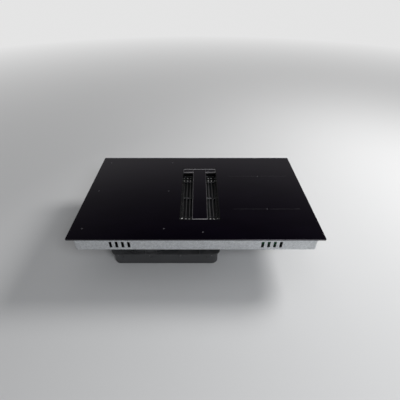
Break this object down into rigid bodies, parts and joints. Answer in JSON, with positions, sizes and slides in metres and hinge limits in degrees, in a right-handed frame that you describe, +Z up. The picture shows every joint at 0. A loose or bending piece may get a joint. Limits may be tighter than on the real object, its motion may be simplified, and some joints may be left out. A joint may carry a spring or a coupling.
{
  "type": "downdraft induction cooktop",
  "caption": "Frameless built-in induction cooktop with a central air inlet under a T-shaped glass cover, and a blower below.",
  "frame": {"origin": "middle of the glass, on the worktop face that the seal rests on", "axes": "+X to the cook's right, +Y to the rear, +Z up"},
  "size_m": [0.83, 0.515, 0.2185],
  "materials": {
    "black_glass": "polished black glass-ceramic",
    "cover_metal": "satin anodised",
    "black_moulding": "fine matt",
    "filter_steel": "satin",
    "galvanised": "zinc coated",
    "spring_steel": "bright",
    "coil_carrier": "mill",
    "winding": "lacquered litz wire",
    "ferrite": "sintered",
    "mica_sheet": "pressed mica",
    "circuit_board": "solder mask",
    "sink_alloy": "extruded",
    "fan_plastic": "moulded",
    "housing_plastic": "moulded",
    "wheel_plastic": "moulded",
    "duct_plastic": "moulded",
    "tray_plastic": "smooth",
    "motor_steel": "zinc coated",
    "stator_iron": "stacked laminations",
    "bearing_steel": "ground",
    "die_cast": "cast",
    "foam_seal": "closed-cell foam",
    "soft_rubber": "moulded",
    "sensor": "ceramic",
    "terminal_plastic": "moulded",
    "block_plastic": "moulded",
    "ribbon": "flat cable",
    "screw_steel": "zinc plated",
    "screen_print": "fired enamel"
  },
  "bodies": {
    "hob": {"ceramic_glass": "black_glass", "worktop_seal": "foam_seal", "inlet_collar": "black_moulding", "collar_gasket": "soft_rubber", "base_pan": "galvanised", "pan_brackets": "spring_steel", "cutout_springs": "spring_steel", "left_coil_plate": "coil_carrier", "right_coil_plate": "coil_carrier", "front_left_coil": "winding", "rear_left_coil": "winding", "front_right_coil": "winding", "rear_right_coil": "winding", "left_ferrites": "ferrite", "right_ferrites": "ferrite", "left_mica": "mica_sheet", "right_mica": "mica_sheet", "temperature_sensors": "sensor", "left_power_board": "circuit_board", "right_power_board": "circuit_board", "left_heat_sink": "sink_alloy", "right_heat_sink": "sink_alloy", "mains_filter_board": "circuit_board", "board_spacers": "sensor", "left_fan_frame": "fan_plastic", "right_fan_frame": "fan_plastic", "control_holder": "housing_plastic", "control_board": "circuit_board", "touch_pads": "soft_rubber", "ribbon_cable": "ribbon", "air_shaft": "housing_plastic", "plenum_base": "housing_plastic", "plenum_gasket": "foam_seal", "scroll_housing": "housing_plastic", "scroll_floor": "housing_plastic", "inlet_ring": "wheel_plastic", "motor_stator": "stator_iron", "motor_mount": "die_cast", "motor_bearings": "bearing_steel", "duct_spigot": "duct_plastic", "spigot_seal": "foam_seal", "terminal_box": "terminal_plastic", "terminal_cover": "terminal_plastic", "terminal_block": "block_plastic", "cable_clamp": "terminal_plastic", "cable_gland": "soft_rubber", "housing_screws": "screw_steel"},
    "cover": {"cover_frame": "cover_metal", "cover_glass": "black_glass", "cover_pads": "soft_rubber"},
    "front_filter": {"front_filter_frame": "filter_steel", "front_filter_slats": "filter_steel"},
    "rear_filter": {"rear_filter_frame": "filter_steel", "rear_filter_slats": "filter_steel"},
    "tray": {"drip_tray": "tray_plastic"},
    "blower_wheel": {"impeller": "wheel_plastic", "motor_rotor": "motor_steel"},
    "left_fan": {"left_fan_rotor": "fan_plastic"},
    "right_fan": {"right_fan_rotor": "fan_plastic"}
  },
  "joints": [
    {"name": "cover_lift", "type": "slide", "parent": "hob", "child": "cover", "axis": [0, 0, 1], "range_m": [0, 0.36]},
    {"name": "front_filter_lift", "type": "slide", "parent": "hob", "child": "front_filter", "axis": [0, 0, 1], "range_m": [0, 0.288]},
    {"name": "rear_filter_lift", "type": "slide", "parent": "hob", "child": "rear_filter", "axis": [0, 0, 1], "range_m": [0, 0.288]},
    {"name": "tray_lift", "type": "slide", "parent": "hob", "child": "tray", "axis": [0, 0, 1], "range_m": [0, 0.2232]},
    {"name": "blower_spin", "type": "hinge", "parent": "hob", "child": "blower_wheel", "pos_m": [-0.16055, -0.06, -0.11], "axis": [0, 0, 1], "continuous": true},
    {"name": "left_fan_spin", "type": "hinge", "parent": "hob", "child": "left_fan", "pos_m": [-0.349, 0.155, -0.045], "axis": [0, 0, 1], "continuous": true},
    {"name": "right_fan_spin", "type": "hinge", "parent": "hob", "child": "right_fan", "pos_m": [0.345, -0.15, -0.045], "axis": [0, 0, 1], "continuous": true}
  ],
  "couplings": [
    {"joint": "front_filter_lift", "follows": "cover_lift", "ratio": 0.8},
    {"joint": "rear_filter_lift", "follows": "cover_lift", "ratio": 0.8},
    {"joint": "tray_lift", "follows": "cover_lift", "ratio": 0.62}
  ]
}
